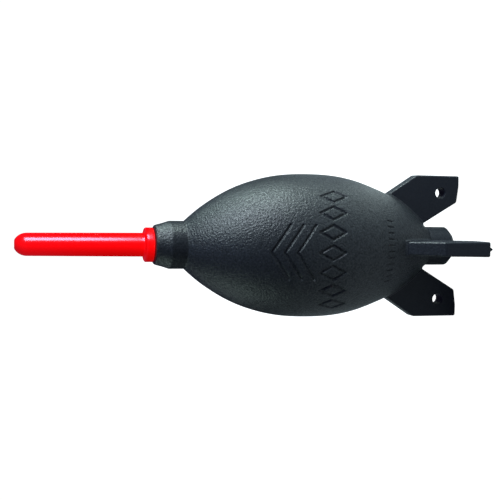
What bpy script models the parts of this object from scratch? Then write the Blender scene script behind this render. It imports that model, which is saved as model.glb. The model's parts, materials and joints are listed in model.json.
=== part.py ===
"""Squeeze bulb dust blower: a rubber bulb on four tail fins, a push-in nozzle and an intake valve.

The blower stands on its fins. The origin is on the axis, in the plane of the fins' feet. +Z runs up to
the nozzle's tip, and the fins lie along +X, +Y, -X and -Y. Every size is in metres.
"""

import math

import bmesh
import bpy
import numpy as np
from mathutils import Matrix

FIT_GAP = 0.0003  # between neighbouring pieces, where rubber grips plastic on the real thing
MERGE = 0.00001
BODY_STEPS = 48
SMALL_STEPS = 32
SMOOTH_ANGLE = math.radians(35)

# Bulb: outer radius at heights from the neck's crease down to the tail boss
NECK_CREASE_Z = 0.1231
BOSS_TOP_Z = 0.0154
NECK_RADIUS = 0.0098
BOSS_RADIUS = 0.0084
BULB_STATIONS = (  # height and radius
    (NECK_CREASE_Z, NECK_RADIUS),
    (0.118, 0.0142),
    (0.112, 0.0185),
    (0.104, 0.0231),
    (0.094, 0.0270),
    (0.084, 0.0293),
    (0.071, 0.0302),
    (0.060, 0.0298),
    (0.049, 0.0277),
    (0.040, 0.0246),
    (0.031, 0.0206),
    (0.023, 0.0150),
    (BOSS_TOP_Z, BOSS_RADIUS),
)
WALL = 0.0032
BULB_SECTIONS = 20
CAVITY_SECTIONS = 14

# Neck: a short cylinder, then a taper with a rounded lip
NECK_TAPER_Z = 0.1293
NECK_END_Z = 0.1356
NECK_LIP_RADIUS = 0.0080
NECK_LIP_ROUND = 0.0008
NECK_TAPER_BOW = 0.0001
NECK_BORE = 0.0049
NECK_BORE_START_Z = 0.1216

# Tail boss: holds the intake valve
BOSS_END_Z = 0.0034
BOSS_CHAMFER = 0.0022
SOCKET_RADIUS = 0.0050
SOCKET_FLOOR_Z = 0.0056
SOCKET_BORE = 0.0045
SOCKET_TOP_Z = 0.0163

# Fins
FIN_COUNT = 4
FIN_THICKNESS = 0.0062
FIN_RADIUS = 0.0310
FIN_SHOULDER_Z = 0.0205
FIN_LEADING_SLOPE = -0.645  # radius per height along the leading edge
FIN_FOOT_INNER = 0.0262
FIN_HEEL_RADIUS = 0.0193
FIN_HEEL_Z = 0.0009
FIN_INNER_SLOPE = -0.595
FIN_ROOT_DEPTH = 0.0015
FIN_ROOT_SECTIONS = 8
FIN_SEARCH_TOP_Z = 0.0600
FIN_EDGE_ROUND = 0.0005
HANG_HOLE_RADIUS = 0.00235
HANG_HOLE_CENTRE = (0.0234, 0.0090)  # radius and height

# Nozzle
NOZZLE_TIP_Z = 0.1900
TUBE_BASE_RADIUS = 0.00484
TUBE_END_RADIUS = 0.00454
TIP_LENGTH = 0.0048
TIP_ROUND_SECTIONS = 7
ORIFICE_RADIUS = 0.0013
ORIFICE_RIM = 0.0016
ORIFICE_LENGTH = 0.0080
COLLAR_RADIUS = 0.0070
COLLAR_HEIGHT = 0.0035
COLLAR_EDGE = 0.0005
COLLAR_FILLET = 0.0006
STEM_LENGTH = 0.0138
STEM_RADIUS = NECK_BORE - FIT_GAP
STEM_WAIST = 0.0042
STEM_RIBS = 3
AIR_BORE = 0.0031

# Intake valve
FLANGE_RADIUS = SOCKET_RADIUS - FIT_GAP
FLANGE_BOTTOM_Z = 0.0039
FLANGE_EDGE = 0.0003
WEB_TOP_Z = 0.0052
SEAT_TOP_Z = 0.0056
SEAT_INNER = 0.0021
SEAT_OUTER = 0.0025
SLEEVE_TOP_Z = 0.0120
SLEEVE_RADIUS = SOCKET_BORE - FIT_GAP
SLEEVE_WAIST = 0.0040
SLEEVE_BORE = 0.0032
SLEEVE_RIBS = 3
PORT_COUNT = 4
PORT_RADIUS = 0.00062
PORT_CIRCLE = 0.00125
DISC_RADIUS = 0.0028
DISC_BOTTOM_Z = 0.0057
DISC_THICKNESS = 0.0006
DISC_EDGE = 0.0001
CAGE_BOTTOM_Z = 0.0078
CAGE_HEIGHT = 0.0036
CAGE_RADIUS = SLEEVE_BORE - FIT_GAP
CAGE_BORE = 0.0021
CAGE_BAR_WIDTH = 0.0009
CAGE_BAR_HEIGHT = 0.0010


def clear_scene():
    for thing in list(bpy.data.objects):
        bpy.data.objects.remove(thing, do_unlink=True)


def new_collection(name):
    group = bpy.data.collections.new(name)
    bpy.context.scene.collection.children.link(group)
    return group


def new_material(name, colour, roughness):
    material = bpy.data.materials.new(name)
    material.use_nodes = True
    shader = material.node_tree.nodes["Principled BSDF"]
    shader.inputs["Base Color"].default_value = (*colour, 1.0)
    shader.inputs["Roughness"].default_value = roughness
    shader.inputs["Metallic"].default_value = 0.0
    return material


def place(thing, group, z=0.0):
    """Links an object and sets its origin on the blower's axis, at height z."""
    group.objects.link(thing)
    thing.location = (0.0, 0.0, z)
    return thing


def turned(name, outline, origin_z, closed, steps):
    """A turned piece. The outline is (radius, height) points that run down the outer side."""
    mesh = bpy.data.meshes.new(name)
    points = [(radius, 0.0, height - origin_z) for radius, height in outline]
    edges = [(i, i + 1) for i in range(len(points) - 1)]
    if closed:
        edges.append((len(points) - 1, 0))
    mesh.from_pydata(points, edges, [])
    piece = bpy.data.objects.new(name, mesh)
    screw = piece.modifiers.new("Turn", "SCREW")
    screw.steps = steps
    screw.render_steps = steps
    screw.use_merge_vertices = True
    screw.merge_threshold = MERGE
    screw.use_smooth_shade = True
    return piece


def to_mesh(thing):
    """Replaces an object with a plain mesh of its evaluated shape, with its caps welded."""
    depsgraph = bpy.context.evaluated_depsgraph_get()
    mesh = bpy.data.meshes.new_from_object(thing.evaluated_get(depsgraph))
    shape = bmesh.new()
    shape.from_mesh(mesh)
    bmesh.ops.remove_doubles(shape, verts=shape.verts, dist=MERGE)
    bmesh.ops.recalc_face_normals(shape, faces=shape.faces)
    shape.to_mesh(mesh)
    shape.free()
    result = bpy.data.objects.new(thing.name, mesh)
    result.matrix_world = thing.matrix_world.copy()
    bpy.data.objects.remove(thing, do_unlink=True)
    return result


def as_guide(thing, group):
    """A cutter, or a shape to be joined on: never drawn."""
    group.objects.link(thing)
    thing.hide_render = True
    thing.display_type = "WIRE"
    return thing


def combine(piece, operation, group):
    boolean = piece.modifiers.new(operation.title(), "BOOLEAN")
    boolean.operation = operation
    boolean.operand_type = "COLLECTION"
    boolean.collection = group
    boolean.solver = "EXACT"
    return boolean


def cylinder(name, radius, length, matrix, steps=SMALL_STEPS):
    mesh = bpy.data.meshes.new(name)
    shape = bmesh.new()
    bmesh.ops.create_cone(
        shape, cap_ends=True, segments=steps, radius1=radius, radius2=radius, depth=length, matrix=matrix
    )
    shape.to_mesh(mesh)
    shape.free()
    return bpy.data.objects.new(name, mesh)


def natural_spline(stations):
    """A natural cubic through (x, y) stations, as a function that gives the value and the slope."""
    x, y = np.array(sorted(stations)).T
    h = np.diff(x)
    count = len(x)
    system = np.eye(count)
    rhs = np.zeros(count)
    for i in range(1, count - 1):
        system[i, i - 1 : i + 2] = (h[i - 1], 2 * (h[i - 1] + h[i]), h[i])
        rhs[i] = 6 * ((y[i + 1] - y[i]) / h[i] - (y[i] - y[i - 1]) / h[i - 1])
    bend = np.linalg.solve(system, rhs)

    def at(value):
        i = int(np.clip(np.searchsorted(x, value) - 1, 0, count - 2))
        a = (x[i + 1] - value) / h[i]
        b = 1.0 - a
        height = a * y[i] + b * y[i + 1]
        height += ((a**3 - a) * bend[i] + (b**3 - b) * bend[i + 1]) * h[i] ** 2 / 6
        slope = (y[i + 1] - y[i]) / h[i]
        slope += ((3 * b * b - 1) * bend[i + 1] - (3 * a * a - 1) * bend[i]) * h[i] / 6
        return float(height), float(slope)

    return at


BULB_RADIUS_AT = natural_spline(BULB_STATIONS)


def bulb_curve(depth, sections, top=NECK_CREASE_Z, bottom=BOSS_TOP_Z):
    """Points from top to bottom along the bulb's surface, sunk into it by depth."""
    points = []
    for z in np.linspace(top, bottom, sections + 1):
        radius, slope = BULB_RADIUS_AT(z)
        tilt = math.hypot(1.0, slope)
        points.append((radius - depth / tilt, float(z) + depth * slope / tilt))
    return points


def neck_outline():
    """From the bore's mouth over the rounded lip and down the taper to the crease."""
    lip_centre = (NECK_LIP_RADIUS - NECK_LIP_ROUND, NECK_END_Z - NECK_LIP_ROUND)
    points = [(NECK_BORE, NECK_END_Z)]
    for angle in np.linspace(math.pi / 2, 0.0, 4):
        across = NECK_LIP_ROUND * math.cos(angle)
        up = NECK_LIP_ROUND * math.sin(angle)
        points.append((lip_centre[0] + across, lip_centre[1] + up))
    taper_length = lip_centre[1] - NECK_TAPER_Z
    taper_rise = NECK_RADIUS - NECK_LIP_RADIUS
    for part in (0.25, 0.5, 0.75, 1.0):
        bow = NECK_TAPER_BOW * math.sin(math.pi * part)
        points.append((NECK_LIP_RADIUS + part * taper_rise + bow, lip_centre[1] - part * taper_length))
    return points


def tail_outline():
    """Down the boss, over its chamfer and into the valve's socket."""
    return [
        (BOSS_RADIUS, BOSS_END_Z + BOSS_CHAMFER),
        (BOSS_RADIUS - BOSS_CHAMFER, BOSS_END_Z),
        (SOCKET_RADIUS, BOSS_END_Z),
        (SOCKET_RADIUS, SOCKET_FLOOR_Z),
        (SOCKET_BORE, SOCKET_FLOOR_Z),
        (SOCKET_BORE, SOCKET_TOP_Z),
    ]


def meeting_height(edge, depth):
    """The height at which a straight fin edge, radius = edge(z), reaches the sunk bulb surface."""
    surface = bulb_curve(depth, 400, FIN_SEARCH_TOP_Z, BOSS_TOP_Z)
    side = np.array([radius - edge(z) for radius, z in surface])
    first = np.where(np.diff(np.sign(side)) != 0)[0][0]
    return surface[first][1]


def fin_outline():
    """A fin in its own plane, as (radius, height): its root lies inside the bulb's wall."""

    def leading(z):
        return FIN_RADIUS + FIN_LEADING_SLOPE * (z - FIN_SHOULDER_Z)

    def inner(z):
        return FIN_HEEL_RADIUS + FIN_INNER_SLOPE * (z - FIN_HEEL_Z)

    top = meeting_height(leading, FIN_ROOT_DEPTH)
    bottom = meeting_height(inner, FIN_ROOT_DEPTH)
    root = [
        point
        for point in bulb_curve(FIN_ROOT_DEPTH, 60, FIN_SEARCH_TOP_Z, BOSS_TOP_Z)
        if bottom < point[1] < top
    ]
    stride = max(1, len(root) // FIN_ROOT_SECTIONS)
    return [
        (FIN_FOOT_INNER, 0.0),
        (FIN_RADIUS, 0.0),
        (FIN_RADIUS, FIN_SHOULDER_Z),
        (leading(top), top),
        *root[stride::stride],
        (inner(bottom), bottom),
        (FIN_HEEL_RADIUS, FIN_HEEL_Z),
    ]


def fin_blank():
    """One flat fin along +X, with softened edges."""
    curve = bpy.data.curves.new("fin", "CURVE")
    curve.dimensions = "2D"
    curve.fill_mode = "BOTH"
    curve.extrude = FIN_THICKNESS / 2
    outline = fin_outline()
    spline = curve.splines.new("POLY")
    spline.points.add(len(outline) - 1)
    for point, (radius, height) in zip(spline.points, outline):
        point.co = (radius, height, 0.0, 1.0)
    spline.use_cyclic_u = True
    blank = bpy.data.objects.new("fin", curve)
    bpy.context.scene.collection.objects.link(blank)
    blank.rotation_euler = (math.pi / 2, 0.0, 0.0)
    bpy.context.view_layer.update()
    return to_mesh(blank)


def add_fins(body, guides):
    """Joins the fins to the body and cuts their hanging holes."""
    blank = fin_blank()
    upright = blank.matrix_world.copy()
    across = Matrix.Rotation(math.pi / 2, 4, "X")
    for index in range(FIN_COUNT):
        turn = Matrix.Rotation(index * 2 * math.pi / FIN_COUNT, 4, "Z")
        fin = bpy.data.objects.new(f"fin_{index + 1}", blank.data)
        fin.matrix_world = turn @ upright
        bevel = fin.modifiers.new("Soft edges", "BEVEL")
        bevel.width = FIN_EDGE_ROUND
        bevel.segments = 2
        bevel.limit_method = "ANGLE"
        bevel.angle_limit = math.radians(40)
        as_guide(fin, guides["fins"])
        where = Matrix.Translation((HANG_HOLE_CENTRE[0], 0.0, HANG_HOLE_CENTRE[1]))
        hole = cylinder("hang_hole", HANG_HOLE_RADIUS, 3 * FIN_THICKNESS, turn @ where @ across, 24)
        as_guide(hole, guides["holes"])
    bpy.data.objects.remove(blank, do_unlink=True)
    combine(body, "UNION", guides["fins"])
    combine(body, "DIFFERENCE", guides["holes"])


def make_bulb_body(guides):
    cavity = bulb_curve(WALL, CAVITY_SECTIONS)
    cavity.reverse()
    outline = [
        *neck_outline(),
        *bulb_curve(0.0, BULB_SECTIONS),
        *tail_outline(),
        *cavity,
        (NECK_BORE, NECK_BORE_START_Z),
    ]
    body = turned("bulb_body", outline, 0.0, True, BODY_STEPS)
    add_fins(body, guides)
    return body


def ribbed(top, bottom, rib_radius, waist_radius, ribs):
    """A stem's side, from top to bottom: rounded grip ribs with narrower waists between them."""
    points = []
    pitch = (top - bottom) / ribs
    for index in range(ribs):
        start = top - index * pitch
        points.append((waist_radius, start))
        points.append((waist_radius, start - 0.35 * pitch))
        points.append((rib_radius, start - 0.5 * pitch))
        points.append((rib_radius, start - 0.8 * pitch))
    points.append((waist_radius, bottom))
    return points


def make_nozzle():
    """Tube, collar and ribbed stem in one moulding, with an air bore from end to end."""
    round_start = NOZZLE_TIP_Z - TIP_LENGTH
    first_angle = math.acos(ORIFICE_RIM / TUBE_END_RADIUS)
    collar_bottom = NECK_END_Z + FIT_GAP
    collar_top = collar_bottom + COLLAR_HEIGHT
    stem_bottom = NECK_END_Z - STEM_LENGTH
    tip = [(ORIFICE_RADIUS, NOZZLE_TIP_Z)]
    for angle in np.linspace(first_angle, 0.0, TIP_ROUND_SECTIONS):
        rise = TIP_LENGTH * math.sin(angle) / math.sin(first_angle)
        tip.append((TUBE_END_RADIUS * math.cos(angle), round_start + rise))
    outline = [
        *tip,
        (TUBE_BASE_RADIUS, collar_top + COLLAR_FILLET),
        (TUBE_BASE_RADIUS + COLLAR_FILLET, collar_top),
        (COLLAR_RADIUS - COLLAR_EDGE, collar_top),
        (COLLAR_RADIUS, collar_top - COLLAR_EDGE),
        (COLLAR_RADIUS, collar_bottom),
        *ribbed(collar_bottom, stem_bottom, STEM_RADIUS, STEM_WAIST, STEM_RIBS),
        (AIR_BORE, stem_bottom),
        (AIR_BORE, round_start - ORIFICE_LENGTH),
        (ORIFICE_RADIUS, round_start),
    ]
    return turned("nozzle", outline, NECK_END_Z, True, SMALL_STEPS)


def make_valve_housing(guides):
    """Sleeve with a flange, a web with intake ports and a raised seat for the disc."""
    outline = [
        (0.0, WEB_TOP_Z),
        (SEAT_INNER, WEB_TOP_Z),
        (SEAT_INNER, SEAT_TOP_Z),
        (SEAT_OUTER, SEAT_TOP_Z),
        (SEAT_OUTER, WEB_TOP_Z),
        (SLEEVE_BORE, WEB_TOP_Z),
        (SLEEVE_BORE, SLEEVE_TOP_Z),
        *ribbed(SLEEVE_TOP_Z, SOCKET_FLOOR_Z - FIT_GAP, SLEEVE_RADIUS, SLEEVE_WAIST, SLEEVE_RIBS),
        (FLANGE_RADIUS, SOCKET_FLOOR_Z - FIT_GAP),
        (FLANGE_RADIUS, FLANGE_BOTTOM_Z + FLANGE_EDGE),
        (FLANGE_RADIUS - FLANGE_EDGE, FLANGE_BOTTOM_Z),
        (0.0, FLANGE_BOTTOM_Z),
    ]
    housing = turned("valve_housing", outline, BOSS_END_Z, False, SMALL_STEPS)
    for index in range(PORT_COUNT):
        turn = Matrix.Rotation((index + 0.5) * 2 * math.pi / PORT_COUNT, 4, "Z")
        where = Matrix.Translation((PORT_CIRCLE, 0.0, WEB_TOP_Z))
        port = cylinder("intake_port", PORT_RADIUS, 2 * SOCKET_RADIUS, turn @ where, 16)
        as_guide(port, guides["ports"])
    combine(housing, "DIFFERENCE", guides["ports"])
    return housing


def make_valve_disc():
    top = DISC_BOTTOM_Z + DISC_THICKNESS
    outline = [
        (0.0, top),
        (DISC_RADIUS - DISC_EDGE, top),
        (DISC_RADIUS, top - DISC_EDGE),
        (DISC_RADIUS, DISC_BOTTOM_Z + DISC_EDGE),
        (DISC_RADIUS - DISC_EDGE, DISC_BOTTOM_Z),
        (0.0, DISC_BOTTOM_Z),
    ]
    return turned("valve_disc", outline, DISC_BOTTOM_Z, False, SMALL_STEPS)


def make_valve_cage(guides):
    """A ring with crossed bars that stop the disc."""
    top = CAGE_BOTTOM_Z + CAGE_HEIGHT
    outline = [
        (CAGE_BORE, top),
        (CAGE_RADIUS, top),
        (CAGE_RADIUS, CAGE_BOTTOM_Z),
        (CAGE_BORE, CAGE_BOTTOM_Z),
    ]
    cage = turned("valve_cage", outline, CAGE_BOTTOM_Z, True, SMALL_STEPS)
    length = CAGE_BORE + CAGE_RADIUS
    for index in range(2):
        mesh = bpy.data.meshes.new("cage_bar")
        shape = bmesh.new()
        middle = (0.0, 0.0, CAGE_BOTTOM_Z + CAGE_BAR_HEIGHT / 2)
        size = Matrix.Diagonal((length, CAGE_BAR_WIDTH, CAGE_BAR_HEIGHT, 1.0))
        turn = Matrix.Rotation(index * math.pi / 2, 4, "Z")
        bmesh.ops.create_cube(shape, size=1.0, matrix=Matrix.Translation(middle) @ turn @ size)
        shape.to_mesh(mesh)
        shape.free()
        as_guide(bpy.data.objects.new("cage_bar", mesh), guides["bars"])
    combine(cage, "UNION", guides["bars"])
    return cage


def main():
    clear_scene()
    parts = new_collection("dust_blower")
    guides = {name: new_collection(name) for name in ("fins", "holes", "ports", "bars")}
    rubber = new_material("black_rubber", (0.022, 0.024, 0.027), 0.62)
    red = new_material("red_plastic", (0.62, 0.006, 0.008), 0.18)
    black = new_material("black_plastic", (0.030, 0.031, 0.033), 0.42)
    silicone = new_material("grey_silicone", (0.38, 0.37, 0.34), 0.50)
    white = new_material("natural_plastic", (0.62, 0.60, 0.55), 0.40)
    pieces = (
        (make_bulb_body(guides), rubber, 0.0),
        (make_nozzle(), red, NECK_END_Z),
        (make_valve_housing(guides), black, BOSS_END_Z),
        (make_valve_disc(), silicone, DISC_BOTTOM_Z),
        (make_valve_cage(guides), white, CAGE_BOTTOM_Z),
    )
    for piece, material, height in pieces:
        place(piece, parts, height)
        piece.data.materials.append(material)
        piece.data.shade_smooth()
        piece.data.set_sharp_from_angle(angle=SMOOTH_ANGLE)


main()
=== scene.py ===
"""Looks of the dust blower bulb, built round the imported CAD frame. Lengths are in metres."""

import json
import math

import bmesh
import bpy
import numpy as np
from mathutils import Matrix, Vector

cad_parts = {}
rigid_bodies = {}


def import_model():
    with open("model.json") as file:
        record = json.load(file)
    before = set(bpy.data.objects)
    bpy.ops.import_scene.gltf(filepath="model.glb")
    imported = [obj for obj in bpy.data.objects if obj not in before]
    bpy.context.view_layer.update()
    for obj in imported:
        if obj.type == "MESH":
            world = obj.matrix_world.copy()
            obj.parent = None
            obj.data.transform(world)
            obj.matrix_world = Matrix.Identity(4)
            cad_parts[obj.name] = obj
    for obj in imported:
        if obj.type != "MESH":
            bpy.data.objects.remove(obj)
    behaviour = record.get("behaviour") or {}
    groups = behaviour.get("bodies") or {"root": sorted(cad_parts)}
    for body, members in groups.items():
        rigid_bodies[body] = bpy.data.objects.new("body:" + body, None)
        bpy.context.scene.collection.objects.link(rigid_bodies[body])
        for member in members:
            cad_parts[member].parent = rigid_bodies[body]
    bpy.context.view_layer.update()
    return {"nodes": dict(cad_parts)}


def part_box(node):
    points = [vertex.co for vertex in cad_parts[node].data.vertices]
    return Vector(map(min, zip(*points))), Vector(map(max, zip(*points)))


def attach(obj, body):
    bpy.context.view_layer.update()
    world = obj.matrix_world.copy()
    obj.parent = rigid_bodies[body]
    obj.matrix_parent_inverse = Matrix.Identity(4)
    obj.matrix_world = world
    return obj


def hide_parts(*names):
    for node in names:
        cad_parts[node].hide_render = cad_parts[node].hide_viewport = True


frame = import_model()

MM = 0.001
MERGE = 0.000005
SLIVER_WIDTH = 0.0001 * MM

# Places taken from the frame
BODY_LOW, BODY_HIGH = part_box("bulb_body")
NOZZLE_LOW, NOZZLE_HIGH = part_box("nozzle")
HOUSING_LOW, HOUSING_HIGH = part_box("valve_housing")
DISC_LOW, DISC_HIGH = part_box("valve_disc")
CAGE_LOW, CAGE_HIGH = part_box("valve_cage")
NECK_END_Z = BODY_HIGH.z
FIN_RADIUS = BODY_HIGH.x
FEET_Z = BODY_LOW.z

# Bulb
CREASE_Z = 123.1 * MM
BOSS_TOP_Z = 15.4 * MM
CAD_SECTIONS = 20
NECK_SHOULDER_Z = 129.3 * MM
NECK_LIP_RADIUS = 7.95 * MM
NECK_LIP_ROUND = 1.0 * MM
BOSS_END_Z = 3.4 * MM
BOSS_CHAMFER = 2.2 * MM
BOSS_FILLET = 0.35 * MM
SOCKET_RADIUS = 5.0 * MM
SOCKET_FLOOR_Z = 5.6 * MM
SOCKET_TOP_Z = 16.3 * MM
NECK_BORE_START_Z = 121.6 * MM
FINE_ROW = 0.28 * MM
COARSE_ROW = 0.70 * MM
CAVITY_ROW = 2.5 * MM
FRONT_STEP = math.radians(0.55)
ROOT_STEP = math.radians(0.85)
PLAIN_STEP = math.radians(1.60)
FRONT_REACH = math.radians(60)
ROOT_REACH = math.radians(24)
MARK_BANDS = ((62 * MM, 97 * MM), (39 * MM, 45 * MM))  # heights that hold marks

# Fins
FIN_COUNT = 4
FIN_THICKNESS = 6.1 * MM
FIN_FLARE = 0.07
FIN_SHOULDER_Z = 20.5 * MM
FIN_LEADING_SLOPE = -0.645
FIN_FOOT_INNER = 26.2 * MM
FIN_HEEL = (19.3 * MM, 0.9 * MM)
FIN_INNER_SLOPE = -0.595
FIN_ROOT_DEPTH = 1.725 * MM
FIN_ROOT_POINTS = 14
FIN_EDGE_ROUND = 0.75 * MM
FIN_ROOT_TOP_Z = 34.6 * MM
FIN_ROOT_LOW_Z = 16.6 * MM
FIN_FILLET = 1.1 * MM
HANG_HOLE = (23.4 * MM, 9.0 * MM)
HANG_HOLE_RADIUS = 2.35 * MM
HANG_HOLE_FLARE = 0.25 * MM
FLASH_WIDTH = 1.9 * MM
FLASH_HEIGHT = 1.2 * MM

# Nozzle
FIT_GAP = 0.3 * MM
COLLAR_HEIGHT = 3.5 * MM
TIP_LENGTH = 4.8 * MM
TIP_RIM = 0.35 * MM
STEM_WAIST = 4.2 * MM
STEM_RIB = 4.6 * MM
STEM_RIBS = 3
BORE_NARROWS = 13 * MM  # how far below the tip the air bore begins to narrow

# Intake valve
SLEEVE_BORE = 3.2 * MM
SLEEVE_WAIST = 4.0 * MM
SLEEVE_RIB = 4.2 * MM
SLEEVE_RIBS = 3
WEB_TOP_Z = 5.2 * MM
SEAT_INNER = 2.1 * MM
SEAT_OUTER = 2.5 * MM
DISC_GAP = 0.1 * MM
RECESS_DEPTH = 0.35 * MM
RECESS_INNER = 2.4 * MM
RECESS_OUTER = 3.0 * MM
PORT_COUNT = 4
PORT_RADIUS = 0.62 * MM
PORT_CIRCLE = 1.25 * MM
PORT_REACH = 4 * MM
CAGE_BORE = 2.1 * MM
BAR_WIDTH = 0.9 * MM
BAR_HEIGHT = 1.0 * MM
BAR_ROUND = 0.15 * MM

# Moulded marks on the front of the bulb: plain shapes only
FRONT_ANGLE = -math.pi / 2
MARK_WIDTH = 0.95 * MM
MARK_EDGE = 0.30 * MM
MARK_DEPTH = 0.60 * MM
CHEVRON_CENTRE = (math.radians(-3.0), 85.0 * MM)
CHEVRON_HALF_WIDTH = 11.0 * MM
CHEVRON_DROP = 7.5 * MM
CHEVRON_PITCH = 5.0 * MM
DIAMOND_Z = 69.5 * MM
DIAMOND_COUNT = 7
DIAMOND_PITCH = math.radians(15.5)
DIAMOND_MIDDLE = math.radians(-3.0)
DIAMOND_HALF = (2.9 * MM, 5.4 * MM)
DIAMOND_SAG = 5.0 * MM
DIAMOND_SAG_ANGLE = math.radians(56)
PIP_Z = 42.0 * MM
PIP_COUNT = 11
PIP_PITCH = math.radians(5.8)
PIP_HALF_LENGTH = 1.3 * MM
PIP_WIDTH = 0.55 * MM
PIP_DEPTH = 0.40 * MM

# Rubber grain
GRAIN_SCALE = 1300.0
GRAIN_DEPTH = 0.30 * MM
EDGE_SMOOTHNESS = 0.4
NECK_SMOOTHNESS = 0.3
BOSS_SMOOTHNESS = 0.5
FIN_SHADE = (0.60, 0.60, 0.80)
FIN_GLOSS = 0.58

# Red plastic: a painted glow (emission) that keeps the red bright in the shade, standing in for light that
# passes through it
PAINTED_PLASTIC_GLOW = 0.62

# Camera and light
CAMERA_PLACE = Vector((17.4 * MM, -349.1 * MM, 195.2 * MM))
CAMERA_AIM = Vector((-2.05 * MM, 0.0, 94.85 * MM))
CAMERA_ROLL = math.radians(1.00)
CAMERA_LENS = 62.7
LIGHT_CENTRE = Vector((0.0, 0.0, 85 * MM))
LIGHT_DISTANCE = 1.0
SURROUND_FILL = (0.050, 0.050, 0.095)
FLOOR_BOUNCE = 0.45
CARD_RADIUS = 0.24
FLOOR_GLOW = 1.02


# ---------------------------------------------------------------- shapes


def natural_spline(xs, ys):
    """A natural cubic through the stations, for arrays of heights."""
    x = np.array(xs, float)
    y = np.array(ys, float)
    h = np.diff(x)
    count = len(x)
    system = np.eye(count)
    rhs = np.zeros(count)
    for i in range(1, count - 1):
        system[i, i - 1 : i + 2] = (h[i - 1], 2 * (h[i - 1] + h[i]), h[i])
        rhs[i] = 6 * ((y[i + 1] - y[i]) / h[i] - (y[i] - y[i - 1]) / h[i - 1])
    bend = np.linalg.solve(system, rhs)

    def at(values):
        v = np.asarray(values, float)
        i = np.clip(np.searchsorted(x, v) - 1, 0, count - 2)
        a = (x[i + 1] - v) / h[i]
        b = 1.0 - a
        curve = a * y[i] + b * y[i + 1]
        return curve + ((a**3 - a) * bend[i] + (b**3 - b) * bend[i + 1]) * h[i] ** 2 / 6

    return at


def section_radius(node, z, inside):
    """Radius of a CAD node's outer or inner wall at a height, in the plane midway between two fins."""
    out = Vector((1.0, 1.0, 0.0)).normalized()
    axis_point = Vector((0.0, 0.0, z))
    if inside:
        hit, where, _, _ = frame["nodes"][node].ray_cast(axis_point, out)
    else:
        hit, where, _, _ = frame["nodes"][node].ray_cast(axis_point + out * 2 * FIN_RADIUS, -out)
    if not hit:
        raise ValueError(f"no wall of {node} at height {z}")
    return math.hypot(where.x, where.y)


SECTION_HEIGHTS = np.linspace(BOSS_TOP_Z, CREASE_Z, CAD_SECTIONS + 1)
bulb_radius = natural_spline(
    SECTION_HEIGHTS, [section_radius("bulb_body", float(z), False) for z in SECTION_HEIGHTS]
)


def rounded(corners, spacing):
    """A polyline through (radius, height, rounding) corners, with each corner's arc, cut to about spacing."""
    points = []
    for i, (r, z, rounding) in enumerate(corners):
        here = np.array((r, z))
        if rounding <= 0.0 or i in (0, len(corners) - 1):
            points.append(here)
            continue
        back = np.array(corners[i - 1][:2]) - here
        ahead = np.array(corners[i + 1][:2]) - here
        back_length = np.linalg.norm(back)
        ahead_length = np.linalg.norm(ahead)
        back /= back_length
        ahead /= ahead_length
        half = math.acos(float(np.clip(back @ ahead, -1.0, 1.0))) / 2
        reach = min(rounding / math.tan(half), 0.48 * back_length, 0.48 * ahead_length)
        radius = reach * math.tan(half)
        middle = back + ahead
        centre = here + middle / np.linalg.norm(middle) * radius / math.sin(half)
        start = here + back * reach
        end = here + ahead * reach
        turn = math.pi - 2 * half
        steps = max(2, math.ceil(turn / math.radians(15)))
        for k in range(steps + 1):
            share = k / steps
            chord = start * (math.sin((1 - share) * turn)) + end * math.sin(share * turn)
            chord += centre * (math.sin(turn) - math.sin((1 - share) * turn) - math.sin(share * turn))
            points.append(chord / math.sin(turn))
    return cut_long(points, spacing)


def cut_long(points, spacing):
    """Adds points where neighbours are further apart than spacing."""
    result = [points[0]]
    for a, b in zip(points, points[1:]):
        length = float(np.linalg.norm(b - a))
        if length < MERGE:
            continue
        count = max(1, math.ceil(length / spacing))
        for k in range(1, count + 1):
            result.append(a + (b - a) * k / count)
    return result


def new_object(name, mesh):
    """A new object in the scene."""
    thing = bpy.data.objects.new(name, mesh)
    bpy.context.scene.collection.objects.link(thing)
    return thing


def mesh_from_arrays(name, vertices, quads):
    """A mesh of four sided faces from arrays."""
    mesh = bpy.data.meshes.new(name)
    mesh.vertices.add(len(vertices))
    mesh.vertices.foreach_set("co", np.asarray(vertices, np.float32).ravel())
    mesh.loops.add(quads.size)
    mesh.loops.foreach_set("vertex_index", quads.astype(np.int32).ravel())
    mesh.polygons.add(len(quads))
    mesh.polygons.foreach_set("loop_start", np.arange(0, quads.size, 4, dtype=np.int32))
    mesh.update(calc_edges=True)
    mesh.validate()
    return mesh


def smooth(thing, angle):
    """Smooth shading, with edges sharper than the angle in degrees left crisp."""
    thing.data.shade_smooth()
    thing.data.set_sharp_from_angle(angle=math.radians(angle))


def applied(thing):
    """The object with its modifiers baked into a plain mesh."""
    depsgraph = bpy.context.evaluated_depsgraph_get()
    mesh = bpy.data.meshes.new_from_object(thing.evaluated_get(depsgraph))
    thing.modifiers.clear()
    old = thing.data
    thing.data = mesh
    bpy.data.meshes.remove(old)
    return thing


def boolean(thing, other, operation):
    """Applies one exact Boolean, then removes the other object."""
    modifier = thing.modifiers.new(operation, "BOOLEAN")
    modifier.operation = operation
    modifier.object = other
    modifier.solver = "EXACT"
    applied(thing)
    bpy.data.objects.remove(other, do_unlink=True)


def drop_slivers(thing):
    """Closes up the faces of no width that a Boolean can leave."""
    shape = bmesh.new()
    shape.from_mesh(thing.data)
    bmesh.ops.dissolve_degenerate(shape, dist=SLIVER_WIDTH, edges=shape.edges[:])
    shape.to_mesh(thing.data)
    shape.free()


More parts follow.
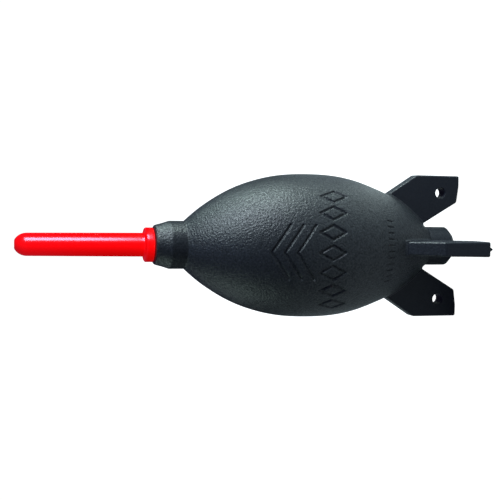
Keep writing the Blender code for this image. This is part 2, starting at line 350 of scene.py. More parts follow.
def turned(name, profile, steps, closed):
    """A turned piece from (radius, height) points that run down the outer side."""
    mesh = bpy.data.meshes.new(name)
    points = [(float(p[0]), 0.0, float(p[1])) for p in profile]
    edges = [(i, i + 1) for i in range(len(points) - 1)]
    if closed:
        edges.append((len(points) - 1, 0))
    mesh.from_pydata(points, edges, [])
    piece = new_object(name, mesh)
    screw = piece.modifiers.new("Turn", "SCREW")
    screw.steps = steps
    screw.render_steps = steps
    screw.use_merge_vertices = True
    screw.merge_threshold = MERGE
    return applied(piece)


# ---------------------------------------------------------------- the rubber moulding


def smoothstep(value):
    """An S curve from 0 to 1."""
    t = np.clip(value, 0.0, 1.0)
    return t * t * (3.0 - 2.0 * t)


def segment_distance(x, y, start, end):
    """Distance from points to a straight stroke."""
    ax, ay = start
    bx, by = end
    dx, dy = bx - ax, by - ay
    share = np.clip(((x - ax) * dx + (y - ay) * dy) / (dx * dx + dy * dy), 0.0, 1.0)
    return np.hypot(x - ax - share * dx, y - ay - share * dy)


def stroke(distance, width):
    """1 inside a stroke of the given width, falling to 0 across its edge."""
    return smoothstep((width / 2 + MARK_EDGE / 2 - distance) / MARK_EDGE)


def wrapped(angle):
    """The same angle, between minus and plus half a turn."""
    return (angle + np.pi) % (2 * np.pi) - np.pi


def chevrons(across, along):
    """Nested arrow strokes that point to the nozzle, the way the air goes."""
    mask = np.zeros_like(across)
    for index in (-1, 0, 1):
        apex = (0.0, index * CHEVRON_PITCH + CHEVRON_DROP / 2)
        for side in (-1.0, 1.0):
            foot = (side * CHEVRON_HALF_WIDTH, apex[1] - CHEVRON_DROP)
            mask = np.maximum(mask, stroke(segment_distance(across, along, apex, foot), MARK_WIDTH))
    return mask


def diamonds(angle, radius, along):
    """A grip band of diamond outlines across the front, a little lower towards its ends."""
    mask = np.zeros_like(along)
    along = along + DIAMOND_SAG * (wrapped(angle) / DIAMOND_SAG_ANGLE) ** 2
    half_across, half_along = DIAMOND_HALF
    tips = ((0.0, half_along), (half_across, 0.0), (0.0, -half_along), (-half_across, 0.0))
    for index in range(DIAMOND_COUNT):
        middle = DIAMOND_MIDDLE + (index - (DIAMOND_COUNT - 1) / 2) * DIAMOND_PITCH
        across = wrapped(angle - middle) * radius
        for k in range(4):
            distance = segment_distance(across, along, tips[k], tips[(k + 1) % 4])
            mask = np.maximum(mask, stroke(distance, MARK_WIDTH))
    return mask


def pips(angle, radius, along):
    """A row of small pressed dashes near the tail."""
    mask = np.zeros_like(along)
    for index in range(PIP_COUNT):
        middle = DIAMOND_MIDDLE + (index - (PIP_COUNT - 1) / 2) * PIP_PITCH
        across = wrapped(angle - middle) * radius
        distance = segment_distance(across, along, (0.0, -PIP_HALF_LENGTH), (0.0, PIP_HALF_LENGTH))
        mask = np.maximum(mask, stroke(distance, PIP_WIDTH))
    return mask


def root_fillet(angle, radius, height):
    """How far the wall swells where it runs into the fins."""
    above = smoothstep((height - FIN_ROOT_LOW_Z) / FIN_FILLET)
    ends = smoothstep((FIN_ROOT_TOP_Z - height) / FIN_FILLET) * above
    swell = np.zeros_like(angle)
    for index in range(FIN_COUNT):
        away = wrapped(angle - index * 2 * np.pi / FIN_COUNT)
        clear = np.abs(radius * np.sin(away)) - FIN_THICKNESS / 2
        near = (np.abs(away) < np.pi / 2) & (clear < FIN_FILLET)
        reach = np.clip(FIN_FILLET - clear, 0.0, FIN_FILLET)
        rise = FIN_FILLET - np.sqrt(FIN_FILLET**2 - reach**2)
        swell = np.where(near, np.maximum(swell, rise), swell)
    return swell * ends


def column_angles():
    """Angles round the axis: closest over the marks, close by the fins, wider elsewhere."""
    angles = [0.0]
    while angles[-1] < 2 * math.pi:
        here = angles[-1]
        front = abs(wrapped(here - FRONT_ANGLE - DIAMOND_MIDDLE))
        to_fin = abs(wrapped(FIN_COUNT * here)) / FIN_COUNT
        if front < FRONT_REACH:
            step = FRONT_STEP
        elif to_fin < ROOT_REACH:
            step = ROOT_STEP
        else:
            step = PLAIN_STEP
        angles.append(here + step)
    return np.array(angles[:-1]) * (2 * math.pi / angles[-1])


def bulb_rows():
    """Heights down the bulb, closest over the marks."""
    heights = [CREASE_Z]
    while heights[-1] > BOSS_TOP_Z:
        here = heights[-1]
        over_marks = any(low < here < high for low, high in MARK_BANDS)
        heights.append(here - (FINE_ROW if over_marks else COARSE_ROW))
    heights[-1] = BOSS_TOP_Z
    return np.array(heights)


def boss_radius():
    """The tail boss's outer radius."""
    return section_radius("bulb_body", BOSS_TOP_Z - 4 * MM, False)


def skin_profile():
    """The closed section of the moulding: outside from the neck to the tail, then back up the inside."""
    bore = section_radius("bulb_body", (NECK_END_Z + NECK_BORE_START_Z) / 2, True)
    socket_bore = section_radius("bulb_body", (SOCKET_FLOOR_Z + SOCKET_TOP_Z) / 2, True)
    neck_radius = section_radius("bulb_body", CREASE_Z + 2 * MM, False)
    boss = boss_radius()
    heights = bulb_rows()
    radii = bulb_radius(heights)
    neck = rounded(
        [
            (bore, NECK_END_Z - 2 * MM, 0),
            (bore, NECK_END_Z, 0.3 * MM),
            (NECK_LIP_RADIUS, NECK_END_Z, NECK_LIP_ROUND),
            (neck_radius - 0.9 * MM, (NECK_END_Z + NECK_SHOULDER_Z) / 2 - 0.4 * MM, 6 * MM),
            (neck_radius, NECK_SHOULDER_Z, 0.5 * MM),
            (neck_radius, CREASE_Z, 0.5 * MM),
            (radii[3], heights[3], 0),
        ],
        0.45 * MM,
    )
    tail = rounded(
        [
            (radii[-4], heights[-4], 0),
            (boss, BOSS_TOP_Z, BOSS_FILLET),
            (boss, BOSS_END_Z + BOSS_CHAMFER, 0.35 * MM),
            (boss - BOSS_CHAMFER, BOSS_END_Z, 0.35 * MM),
            (SOCKET_RADIUS, BOSS_END_Z, 0.25 * MM),
            (SOCKET_RADIUS, SOCKET_FLOOR_Z, 0.1 * MM),
            (socket_bore, SOCKET_FLOOR_Z, 0.1 * MM),
            (socket_bore, SOCKET_TOP_Z, 0),
        ],
        0.5 * MM,
    )
    cavity = [
        np.array((section_radius("bulb_body", float(z), True), z))
        for z in np.arange(SOCKET_TOP_Z + 1.5 * MM, NECK_BORE_START_Z - 1.0 * MM, CAVITY_ROW)
    ]
    cavity.append(np.array((bore, NECK_BORE_START_Z)))
    middle = np.stack([radii[4:-4], heights[4:-4]], 1)
    return np.array(neck), middle, np.array(tail), np.array(cavity)


def make_skin():
    """The turned wall with its marks and fin root fillets, before the fins are joined on."""
    neck, middle, tail, cavity = skin_profile()
    outside = np.concatenate([neck, middle, tail])
    profile = np.concatenate([outside, cavity])
    along = np.gradient(profile, axis=0)
    along /= np.linalg.norm(along, axis=1)[:, None]
    normal = np.stack([-along[:, 1], along[:, 0]], 1)
    angle = column_angles()
    radius = np.repeat(profile[:, :1], len(angle), 1)
    height = np.repeat(profile[:, 1:], len(angle), 1)
    turn = np.repeat((angle - FRONT_ANGLE)[None, :], len(profile), 0)
    chevron_angle, chevron_z = CHEVRON_CENTRE
    pressed = chevrons(wrapped(turn - chevron_angle) * radius, height - chevron_z)
    pressed = np.maximum(pressed, diamonds(turn, radius, height - DIAMOND_Z))
    dashes = pips(turn, radius, height - PIP_Z)
    swell = root_fillet(turn + FRONT_ANGLE, radius, height)
    offset = swell - dashes * PIP_DEPTH - pressed * MARK_DEPTH
    offset[len(outside) :] = 0.0
    r = radius + offset * normal[:, :1]
    z = height + offset * normal[:, 1:]
    vertices = np.stack([r * np.cos(angle), r * np.sin(angle), z], -1).reshape(-1, 3)
    rows, columns = radius.shape
    index = np.arange(rows * columns).reshape(rows, columns)
    down = np.roll(index, -1, 0)
    quads = np.stack([index, down, np.roll(down, -1, 1), np.roll(index, -1, 1)], -1).reshape(-1, 4)
    return new_object("bulb_skin", mesh_from_arrays("bulb_skin", vertices, quads))


def fin_outline():
    """A fin in its own plane; the root runs inside the bulb's wall."""
    heights = np.linspace(FIN_ROOT_TOP_Z + 0.5 * MM, FIN_ROOT_LOW_Z + 2.0 * MM, FIN_ROOT_POINTS)
    root = [(float(bulb_radius(z) - FIN_ROOT_DEPTH), float(z)) for z in heights]
    leading_top = FIN_RADIUS + FIN_LEADING_SLOPE * (heights[0] - FIN_SHOULDER_Z)
    inner_low = FIN_HEEL[0] + FIN_INNER_SLOPE * (heights[-1] - FIN_HEEL[1])
    return [
        (FIN_FOOT_INNER, FEET_Z),
        (FIN_RADIUS, FEET_Z),
        (FIN_RADIUS, FIN_SHOULDER_Z),
        (leading_top, float(heights[0])),
        *root[1:-1],
        (inner_low, float(heights[-1])),
        FIN_HEEL,
    ]


def fin_blank():
    """One fin along +X, a little thicker towards its foot, with soft edges and a round hanging hole."""
    shape = bmesh.new()
    face = shape.faces.new([shape.verts.new((r, -FIN_THICKNESS / 2, z)) for r, z in fin_outline()])
    shape.normal_update()
    made = bmesh.ops.extrude_face_region(shape, geom=[face])
    moved = [v for v in made["geom"] if isinstance(v, bmesh.types.BMVert)]
    bmesh.ops.translate(shape, verts=moved, vec=(0.0, FIN_THICKNESS, 0.0))
    for vertex in shape.verts:
        vertex.co.y *= 1.0 + FIN_FLARE * (0.5 - vertex.co.z / FIN_SHOULDER_Z)
    bmesh.ops.recalc_face_normals(shape, faces=shape.faces)
    edges = [e for e in shape.edges if e.is_manifold and e.calc_face_angle(0.0) > math.radians(20)]
    bmesh.ops.bevel(
        shape, geom=edges, offset=FIN_EDGE_ROUND, segments=4, profile=0.5, affect="EDGES", clamp_overlap=True
    )
    mesh = bpy.data.meshes.new("fin")
    shape.to_mesh(mesh)
    shape.free()
    fin = new_object("fin", mesh)
    boolean(fin, hole_cutter(), "DIFFERENCE")
    return fin


def hole_cutter():
    """A pin across the fin that flares at both faces, so that the hole's rims are rounded."""
    half = FIN_THICKNESS / 2
    wide = HANG_HOLE_RADIUS + HANG_HOLE_FLARE
    upper = [(0.0, half + MM), (wide, half + MM)]
    for angle in np.linspace(0.0, math.pi / 2, 6):
        inward = HANG_HOLE_FLARE * math.sin(angle)
        down = HANG_HOLE_FLARE * (1.0 - math.cos(angle))
        upper.append((wide - inward, half - down))
    lower = [(r, -z) for r, z in reversed(upper)]
    pin = turned("hang_hole", upper + lower, 64, False)
    pin.data.transform(Matrix.Rotation(math.pi / 2, 4, "X"))
    pin.data.transform(Matrix.Translation((HANG_HOLE[0], 0.0, HANG_HOLE[1])))
    return pin


def flash_ridge():
    """The moulding flash left across the foot of a fin at the parting plane, along +X."""
    shape = bmesh.new()
    start = FIN_FOOT_INNER + FIN_EDGE_ROUND
    section = (
        (-FLASH_WIDTH / 2, FEET_Z + 0.5 * MM),
        (-FLASH_WIDTH / 2, FEET_Z),
        (-0.2 * MM, FEET_Z - FLASH_HEIGHT),
        (0.2 * MM, FEET_Z - FLASH_HEIGHT),
        (FLASH_WIDTH / 2, FEET_Z),
        (FLASH_WIDTH / 2, FEET_Z + 0.5 * MM),
    )
    face = shape.faces.new([shape.verts.new((start, y, z)) for y, z in section])
    made = bmesh.ops.extrude_face_region(shape, geom=[face])
    moved = [v for v in made["geom"] if isinstance(v, bmesh.types.BMVert)]
    bmesh.ops.translate(shape, verts=moved, vec=(FIN_RADIUS - FIN_EDGE_ROUND - start, 0.0, 0.0))
    bmesh.ops.recalc_face_normals(shape, faces=shape.faces)
    low = [e for e in shape.edges if all(v.co.z < FEET_Z - 0.5 * FLASH_HEIGHT for v in e.verts)]
    bmesh.ops.bevel(shape, geom=low, offset=0.12 * MM, segments=3, profile=0.5, affect="EDGES")
    mesh = bpy.data.meshes.new("flash")
    shape.to_mesh(mesh)
    shape.free()
    return new_object("flash", mesh)


def make_fins():
    """All the fins as one object: two of them stand in the mould's parting plane and carry flash."""
    plain = fin_blank()
    parted = new_object("parted_fin", plain.data.copy())
    boolean(parted, flash_ridge(), "UNION")
    shape = bmesh.new()
    for index in range(FIN_COUNT):
        mesh = (plain if index % 2 == 0 else parted).data.copy()
        mesh.transform(Matrix.Rotation(index * 2 * math.pi / FIN_COUNT, 4, "Z"))
        shape.from_mesh(mesh)
        bpy.data.meshes.remove(mesh)
    mesh = bpy.data.meshes.new("fins")
    shape.to_mesh(mesh)
    shape.free()
    for used in (plain, parted):
        bpy.data.objects.remove(used, do_unlink=True)
    return new_object("fins", mesh)


def mark_smoothness(thing):
    """A value for each face: 0 where the grain is strong, up to 1 on the smooth fins, boss and neck."""
    mesh = thing.data
    centres = np.zeros(len(mesh.polygons) * 3, np.float32)
    normals = np.zeros(len(mesh.polygons) * 3, np.float32)
    mesh.polygons.foreach_get("center", centres)
    mesh.polygons.foreach_get("normal", normals)
    centres = centres.reshape(-1, 3)
    flat = np.abs(normals.reshape(-1, 3)).max(1) > 0.97
    z = centres[:, 2]
    radius = np.hypot(centres[:, 0], centres[:, 1])
    proud = smoothstep((radius - bulb_radius(np.clip(z, BOSS_TOP_Z, CREASE_Z)) - 0.2 * MM) / (0.5 * MM))
    proud[radius < 1.1 * boss_radius()] = 0.0
    tail = BOSS_SMOOTHNESS * smoothstep((BOSS_TOP_Z + 1.5 * MM - z) / (2 * MM))
    fins = np.maximum(proud * np.where(flat, 1.0, EDGE_SMOOTHNESS), tail)
    neck = smoothstep((z - CREASE_Z) / MM) * smoothstep((NECK_SHOULDER_Z + MM - z) / (2 * MM))
    value = np.where(z < 40 * MM, fins, NECK_SMOOTHNESS * neck)
    attribute = mesh.attributes.new("plain_part", "FLOAT", "FACE")
    attribute.data.foreach_set("value", value.astype(np.float32))


def make_bulb():
    """The whole rubber moulding as one closed mesh."""
    skin = make_skin()
    boolean(skin, make_fins(), "UNION")
    mark_smoothness(skin)
    smooth(skin, 40)
    weighted = skin.modifiers.new("Even normals", "WEIGHTED_NORMAL")
    weighted.keep_sharp = True
    weighted.weight = 80
    skin.data.materials.append(rubber_material())
    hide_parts("bulb_body")
    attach(skin, "bulb")


# ---------------------------------------------------------------- materials


def new_material(name):
    """A node material, its tree and its shader."""
    material = bpy.data.materials.new(name)
    material.use_nodes = True
    tree = material.node_tree
    return material, tree, tree.nodes["Principled BSDF"]


def add_node(tree, kind, **settings):
    """A node, with each setting put on the input or property of that name."""
    node = tree.nodes.new(kind)
    for key, value in settings.items():
        if key in node.inputs:
            node.inputs[key].default_value = value
        else:
            setattr(node, key, value)
    return node


def noise(tree, scale, detail=2.0, roughness=0.5):
    """Noise in the object's own metres: features are about 1/scale metres wide."""
    where = tree.nodes.get("Where") or add_node(tree, "ShaderNodeTexCoord", name="Where")
    node = add_node(tree, "ShaderNodeTexNoise", Scale=scale, Detail=detail, Roughness=roughness)
    tree.links.new(where.outputs["Object"], node.inputs["Vector"])
    return node.outputs["Fac"]


def remap(tree, value, low, high, new_low, new_high):
    """The value moved from one range to another, and clamped."""
    node = tree.nodes.new("ShaderNodeMapRange")
    node.clamp = True
    for socket, number in zip(node.inputs[1:5], (low, high, new_low, new_high)):
        socket.default_value = number
    tree.links.new(value, node.inputs[0])
    return node.outputs[0]


def blend_colour(tree, share, first, second):
    """A mix of two fixed colours."""
    node = tree.nodes.new("ShaderNodeMix")
    node.data_type = "RGBA"
    node.inputs[6].default_value = (*first, 1.0)
    node.inputs[7].default_value = (*second, 1.0)
    tree.links.new(share, node.inputs[0])
    return node.outputs[2]


def multiply_colour(tree, first, second):
    """The product of two colours."""
    node = add_node(tree, "ShaderNodeMix", data_type="RGBA", blend_type="MULTIPLY")
    node.inputs[0].default_value = 1.0
    tree.links.new(first, node.inputs[6])
    tree.links.new(second, node.inputs[7])
    return node.outputs[2]


def bump(tree, height, strength, distance, below=None):
    """A bumped normal, on top of another where one is given."""
    node = add_node(tree, "ShaderNodeBump", Strength=strength, Distance=distance)
    tree.links.new(height, node.inputs["Height"])
    if below is not None:
        tree.links.new(below, node.inputs["Normal"])
    return node.outputs["Normal"]


def rubber_material():
    """Black moulded rubber: matte, with a pebbled grain that fades out on the smoother, darker fins."""
    material, tree, shader = new_material("black_rubber")
    plain = add_node(tree, "ShaderNodeAttribute", attribute_name="plain_part").outputs["Fac"]
    fading = tree.nodes.new("ShaderNodeMix")
    fading.inputs[3].default_value = 0.5
    tree.links.new(remap(tree, plain, 0.0, 1.0, 0.0, 0.85), fading.inputs[0])
    tree.links.new(noise(tree, GRAIN_SCALE, 2.0, 0.6), fading.inputs[2])
    grain = fading.outputs[0]
    base = blend_colour(tree, noise(tree, 90.0, 3.0), (0.0115, 0.0140, 0.0175), (0.0150, 0.0180, 0.0215))
    speckled = multiply_colour(tree, base, remap(tree, grain, 0.25, 0.75, 0.75, 1.25))
    shade = blend_colour(tree, plain, (1.0, 1.0, 1.0), FIN_SHADE)
    tree.links.new(multiply_colour(tree, speckled, shade), shader.inputs["Base Color"])
    pebbled = bump(tree, grain, 1.0, GRAIN_DEPTH)
    surface = bump(tree, noise(tree, 450.0, 2.0), 0.3, 0.25 * MM, pebbled)
    tree.links.new(surface, shader.inputs["Normal"])
    tree.links.new(remap(tree, grain, 0.3, 0.7, 0.46, 0.36), shader.inputs["Roughness"])
    gloss = add_node(tree, "ShaderNodeMath", operation="MULTIPLY")
    tree.links.new(remap(tree, grain, 0.25, 0.75, 0.25, 0.75), gloss.inputs[0])
    tree.links.new(remap(tree, plain, 0.0, 1.0, 1.0, FIN_GLOSS), gloss.inputs[1])
    tree.links.new(gloss.outputs[0], shader.inputs["Specular IOR Level"])
    return material


def red_plastic_material():
    """Glossy red moulded plastic with a painted glow: emission, strongest where it faces the camera, keeps
    its colour bright in the shade, in place of light that passes through it.
    """
    material, tree, shader = new_material("red_plastic")
    patch = noise(tree, 60.0, 2.0)
    red = blend_colour(tree, patch, (0.70, 0.0, 0.001), (0.80, 0.0, 0.002))
    tree.links.new(red, shader.inputs["Base Color"])
    fine = noise(tree, 900.0, 4.0)
    tree.links.new(remap(tree, fine, 0.3, 0.7, 0.20, 0.24), shader.inputs["Roughness"])
    tree.links.new(bump(tree, fine, 0.05, 0.01 * MM), shader.inputs["Normal"])
    # Painted glow: red emission, stronger where the surface faces the camera and weaker towards its edges
    facing = add_node(tree, "ShaderNodeLayerWeight", Blend=0.5)
    painted_glow = remap(tree, facing.outputs["Facing"], 0.0, 0.9, PAINTED_PLASTIC_GLOW, 0.55 * PAINTED_PLASTIC_GLOW)
    tree.links.new(painted_glow, shader.inputs["Emission Strength"])
    shader.inputs["Emission Color"].default_value = (1.0, 0.0, 0.0, 1.0)
    shader.inputs["Specular IOR Level"].default_value = 0.9
    return material


def small_part_material(name, first, second, roughness, grain_scale):
    """Satin moulded plastic or silicone for the small valve parts."""
    material, tree, shader = new_material(name)
    colour = blend_colour(tree, noise(tree, 400.0, 3.0), first, second)
    tree.links.new(colour, shader.inputs["Base Color"])
    fine = noise(tree, grain_scale, 3.0)
    satin = remap(tree, fine, 0.3, 0.7, roughness - 0.08, roughness + 0.08)
    tree.links.new(satin, shader.inputs["Roughness"])
    tree.links.new(bump(tree, fine, 0.15, 0.03 * MM), shader.inputs["Normal"])
    return material


# ---------------------------------------------------------------- nozzle and valve


def ribs(top, bottom, rib_radius, waist_radius, count, rounding):
    """Corners down a stem's side with rounded grip ribs."""
    corners = []
    pitch = (top - bottom) / count
    for index in range(count):
        start = top - index * pitch
        corners.append((waist_radius, start - 0.30 * pitch, rounding))
        corners.append((rib_radius, start - 0.45 * pitch, rounding))
        corners.append((rib_radius, start - 0.80 * pitch, rounding))
        corners.append((waist_radius, start - 0.88 * pitch, rounding))
    return corners


def make_nozzle():
    """Tube, collar and ribbed stem in one moulding, with the air bore through it."""
    tube_base = section_radius("nozzle", NECK_END_Z + 6 * MM, False)
    tube_end = section_radius("nozzle", NOZZLE_HIGH.z - 5 * MM, False)
    air_bore = section_radius("nozzle", NECK_END_Z, True)
    orifice = section_radius("nozzle", NOZZLE_HIGH.z - 1 * MM, True)
    collar = NOZZLE_HIGH.x
    collar_low = NECK_END_Z + FIT_GAP
    collar_high = collar_low + COLLAR_HEIGHT
    tip_z = NOZZLE_HIGH.z
    tip = [(orifice, tip_z - 2 * MM, 0), (orifice, tip_z - 0.05 * MM, 0.2 * MM)]
    first = math.acos((orifice + TIP_RIM) / tube_end)
    for angle in np.linspace(first, 0.0, 18):
        rise = TIP_LENGTH * math.sin(angle) / math.sin(first)
        tip.append((tube_end * math.cos(angle), tip_z - TIP_LENGTH + rise, 0))
    corners = [
        *tip,
        (tube_base, collar_high, 0.5 * MM),
        (collar, collar_high, 0.7 * MM),
        (collar, collar_low, 0.35 * MM),
        (STEM_WAIST, collar_low, 0.1 * MM),
        *ribs(collar_low, NOZZLE_LOW.z, STEM_RIB, STEM_WAIST, STEM_RIBS, 0.15 * MM),
        (STEM_WAIST, NOZZLE_LOW.z, 0.3 * MM),
        (air_bore, NOZZLE_LOW.z, 0.2 * MM),
        (air_bore, tip_z - BORE_NARROWS, 1.0 * MM),
        (orifice, tip_z - TIP_LENGTH, 1.0 * MM),
        (orifice, tip_z - 2.2 * MM, 0),
    ]
    nozzle = turned("nozzle_tube", rounded(corners, 1.2 * MM), 144, True)
    smooth(nozzle, 35)
    nozzle.data.materials.append(red_plastic_material())
    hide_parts("nozzle")
    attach(nozzle, "nozzle")
    return nozzle


def make_sleeve():
    """The valve's housing: a ribbed sleeve with a flange, a raised seat and the intake ports."""
    flange = HOUSING_HIGH.x
    top = HOUSING_HIGH.z
    bottom = HOUSING_LOW.z
    seat = DISC_LOW.z - DISC_GAP
    flange_top = SOCKET_FLOOR_Z - FIT_GAP
    corners = [
        (0.0, WEB_TOP_Z, 0),
        (SEAT_INNER, WEB_TOP_Z, 0.05 * MM),
        (SEAT_INNER, seat, 0.1 * MM),
        (SEAT_OUTER, seat, 0.1 * MM),
        (SEAT_OUTER, WEB_TOP_Z, 0.05 * MM),
        (SLEEVE_BORE, WEB_TOP_Z, 0.15 * MM),
        (SLEEVE_BORE, top, 0.15 * MM),
        (SLEEVE_WAIST, top, 0.15 * MM),
        *ribs(top, flange_top, SLEEVE_RIB, SLEEVE_WAIST, SLEEVE_RIBS, 0.1 * MM),
        (SLEEVE_WAIST, flange_top, 0.05 * MM),
        (flange, flange_top, 0.1 * MM),
        (flange, bottom, 0.35 * MM),
        (RECESS_OUTER, bottom, 0.2 * MM),
        (RECESS_INNER, bottom + RECESS_DEPTH, 0.2 * MM),
        (0.0, bottom + RECESS_DEPTH, 0),
    ]
    sleeve = turned("valve_sleeve", rounded(corners, 0.5 * MM), 96, False)
    pin = [(0.0, PORT_REACH), (PORT_RADIUS, PORT_REACH), (PORT_RADIUS, -PORT_REACH), (0.0, -PORT_REACH)]
    out = Matrix.Translation((PORT_CIRCLE, 0.0, WEB_TOP_Z))
    for index in range(PORT_COUNT):
        port = turned("port", pin, 32, False)
        port.data.transform(Matrix.Rotation((index + 0.5) * 2 * math.pi / PORT_COUNT, 4, "Z") @ out)
        boolean(sleeve, port, "DIFFERENCE")
    drop_slivers(sleeve)
    return sleeve


def make_disc():
    """The thin flap that lifts off the seat."""
    corners = [
        (0.0, DISC_HIGH.z, 0),
        (DISC_HIGH.x, DISC_HIGH.z, 0.2 * MM),
        (DISC_HIGH.x, DISC_LOW.z, 0.2 * MM),
        (0.0, DISC_LOW.z, 0),
    ]
    return turned("valve_flap", rounded(corners, 0.4 * MM), 96, False)


def make_cage():
    """The ring and its two crossed bars, which keep the flap in."""
    middle = (CAGE_LOW.z + CAGE_HIGH.z) / 2
    corners = [
        (CAGE_BORE, middle, 0),
        (CAGE_BORE, CAGE_HIGH.z, 0.15 * MM),
        (CAGE_HIGH.x, CAGE_HIGH.z, 0.2 * MM),
        (CAGE_HIGH.x, CAGE_LOW.z, 0.2 * MM),
        (CAGE_BORE, CAGE_LOW.z, 0.1 * MM),
        (CAGE_BORE, middle - 0.3 * MM, 0),
    ]
    cage = turned("valve_retainer", rounded(corners, 0.4 * MM), 96, True)
    size = Matrix.Diagonal((CAGE_BORE + CAGE_HIGH.x, BAR_WIDTH, BAR_HEIGHT, 1.0))
    for index in range(2):
        turn = Matrix.Rotation(index * math.pi / 2, 3, "Z")
        shape = bmesh.new()
        bmesh.ops.create_cube(shape, size=1.0, matrix=size)
        edges = shape.edges[:]
        bmesh.ops.bevel(shape, geom=edges, offset=BAR_ROUND, segments=3, profile=0.5, affect="EDGES")
        bmesh.ops.translate(shape, verts=shape.verts, vec=(0.0, 0.0, CAGE_LOW.z + BAR_HEIGHT / 2))
        bmesh.ops.rotate(shape, verts=shape.verts, matrix=turn)
        mesh = bpy.data.meshes.new("bar")
        shape.to_mesh(mesh)
        shape.free()
        boolean(cage, new_object("bar", mesh), "UNION")
    return cage


def make_valve():
    """The intake valve's three pieces, each with its own material and its own CAD node."""
    housing = make_sleeve()
    disc = make_disc()
    cage = make_cage()
    dark = (0.020, 0.021, 0.023)
    lighter = (0.030, 0.031, 0.034)
    black = small_part_material("black_plastic", dark, lighter, 0.38, 2500.0)
    silicone = small_part_material("silicone", (0.42, 0.41, 0.38), (0.48, 0.47, 0.43), 0.48, 1800.0)
    white = small_part_material("natural_plastic", (0.66, 0.64, 0.58), (0.72, 0.70, 0.64), 0.35, 2500.0)
    for piece, node, body, slot, material in (
        (housing, "valve_housing", "valve", "valve_plastic", black),
        (disc, "valve_disc", "valve_disc", "silicone", silicone),
        (cage, "valve_cage", "valve", "cage_plastic", white),
    ):
        smooth(piece, 35)
        piece.data.materials.append(material)
        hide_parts(node)
        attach(piece, body)


# ---------------------------------------------------------------- stage


def make_stage():
    """A pale floor under the feet. Its middle throws light back up like a white card."""
    shape = bmesh.new()
    bmesh.ops.create_grid(shape, x_segments=1, y_segments=1, size=3.0)
    mesh = bpy.data.meshes.new("floor")
    shape.to_mesh(mesh)
    shape.free()
    floor = new_object("floor", mesh)
    floor.location = (0.0, 0.0, FEET_Z - FLASH_HEIGHT)
    material, tree, shader = new_material("pale_floor")
    shader.inputs["Roughness"].default_value = 0.9
    shader.inputs["Specular IOR Level"].default_value = 0.0
    ray = tree.nodes.new("ShaderNodeLightPath")
    seen = ray.outputs["Is Camera Ray"]
    where = tree.nodes.new("ShaderNodeTexCoord")
    away = add_node(tree, "ShaderNodeVectorMath", operation="LENGTH")
    tree.links.new(where.outputs["Object"], away.inputs[0])
    card = remap(tree, away.outputs["Value"], CARD_RADIUS, 1.4 * CARD_RADIUS, FLOOR_BOUNCE, 0.05)
    colour = tree.nodes.new("ShaderNodeMix")
    colour.data_type = "RGBA"
    colour.inputs[7].default_value = (0.5, 0.5, 0.5, 1.0)
    tree.links.new(seen, colour.inputs[0])
    tree.links.new(card, colour.inputs[6])
    tree.links.new(colour.outputs[2], shader.inputs["Base Color"])
    shader.inputs["Emission Color"].default_value = (1.0, 1.0, 1.0, 1.0)
    tree.links.new(remap(tree, seen, 0.0, 1.0, 0.0, FLOOR_GLOW), shader.inputs["Emission Strength"])
    floor.data.materials.append(material)


def make_surround():
    """White to the camera, and a dim even fill as light."""
    world = bpy.data.worlds.new("surround")
    bpy.context.scene.world = world
    world.use_nodes = True
    tree = world.node_tree
    background = tree.nodes["Background"]
    ray = tree.nodes.new("ShaderNodeLightPath")
    colour = blend_colour(tree, ray.outputs["Is Camera Ray"], SURROUND_FILL, (1.05, 1.05, 1.05))
    tree.links.new(colour, background.inputs["Color"])


def softbox(name, direction, depth, width, power, colour, aim=LIGHT_CENTRE, distance=LIGHT_DISTANCE):
    """A rectangular lamp, as deep as given along Y, and hidden from the camera."""
    data = bpy.data.lights.new(name, "AREA")
    data.shape = "RECTANGLE"
    data.size = width
    data.size_y = depth
    data.energy = power
    data.color = colour
    lamp = new_object(name, data)
    lamp.visible_camera = False
    back = Vector(direction).normalized()
    along = (Vector((0.0, 1.0, 0.0)) - back * back.y).normalized()
    turn = Matrix((along.cross(back), along, back)).transposed()
    lamp.matrix_world = Matrix.Translation(aim + back * distance) @ turn.to_4x4()
    return lamp


def link_lamps(nozzle):
    """The stripe lamps light only the nozzle, and the other lamps leave it out."""
    only = bpy.data.collections.new("nozzle_only")
    without = bpy.data.collections.new("without_nozzle")
    for group in (only, without):
        group.objects.link(nozzle)
    for item in without.collection_objects:
        item.light_linking.link_state = "EXCLUDE"
    for lamp in bpy.context.scene.objects:
        if lamp.type == "LIGHT":
            lamp.light_linking.receiver_collection = only if lamp.name.startswith("stripe") else without


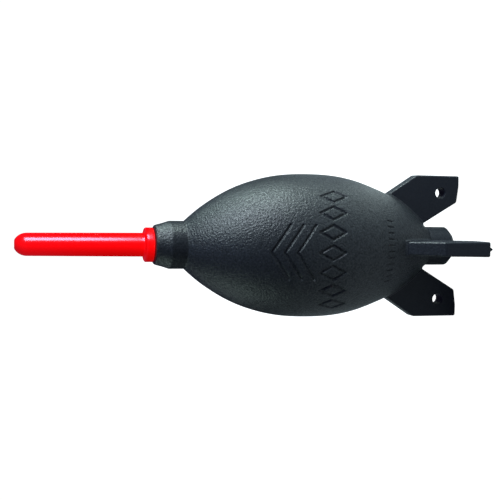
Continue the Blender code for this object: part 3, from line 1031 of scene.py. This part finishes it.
def make_lights(nozzle):
    """Softboxes over the +X side, weak fills under it, two cards on the floor, and the nozzle's own lamps."""
    tube_middle = Vector((0.0, 0.0, NOZZLE_HIGH.z - 22 * MM))
    softbox("top", (1.0, 0.0, 0.07), 0.30, 0.20, 7.8, (0.80, 1.0, 0.96))
    softbox("top_front", (0.85, -0.35, 0.30), 0.30, 0.30, 3.3, (0.80, 0.82, 1.0))
    softbox("top_back", (0.85, 0.40, 0.35), 0.30, 0.30, 3.0, (0.75, 1.0, 0.95))
    softbox("front", (0.70, -0.35, 0.60), 0.30, 0.30, 8.4, (0.77, 0.94, 1.0))
    softbox("low_fill", (-0.95, 0.0, 0.30), 0.35, 0.30, 1.1, (0.74, 1.0, 0.88))
    softbox("low_rim", (-0.85, 0.45, 0.30), 0.35, 0.30, 0.60, (0.78, 1.0, 0.95))
    softbox("nozzle_side", (0.0, -0.50, 0.85), 0.35, 0.35, 0.60, (0.43, 0.60, 1.0))
    for name, out, size, power in (("card_near", 0.10, 0.11, 0.038), ("card_under", -0.15, 0.20, 0.016)):
        above = Vector((out, 0.0, 0.5))
        softbox(name, (0.0, 0.0, -1.0), size, size, power, (0.82, 1.0, 0.98), above, 0.497)
    softbox("stripe", (0.80, -0.53, 0.062), 0.20, 0.20, 1.75, (1.0, 0.62, 1.0), tube_middle, 0.40)
    rose = (1.0, 0.9, 0.95)
    behind = softbox("stripe_back", (0.40, 0.92, -0.005), 0.20, 0.20, 1.0, rose, tube_middle, 0.40)
    behind.visible_glossy = False
    link_lamps(nozzle)


def make_camera():
    """The camera, with image up near +X."""
    data = bpy.data.cameras.new("camera")
    data.lens = CAMERA_LENS
    data.sensor_width = 36.0
    data.clip_start = 0.01
    camera = new_object("camera", data)
    back = (CAMERA_PLACE - CAMERA_AIM).normalized()
    up = (Vector((1.0, 0.0, 0.0)) - back * back.x).normalized()
    right = up.cross(back)
    facing = Matrix((right, up, back)).transposed()
    turn = facing @ Matrix.Rotation(CAMERA_ROLL, 3, "Z")
    camera.matrix_world = Matrix.Translation(CAMERA_PLACE) @ turn.to_4x4()
    bpy.context.scene.camera = camera


def set_view():
    """Plain colours, with no film look."""
    bpy.context.scene.view_settings.view_transform = "Standard"
    bpy.context.scene.view_settings.look = "None"


make_bulb()
nozzle_tube = make_nozzle()
make_valve()
make_stage()
make_surround()
make_lights(nozzle_tube)
make_camera()
set_view()
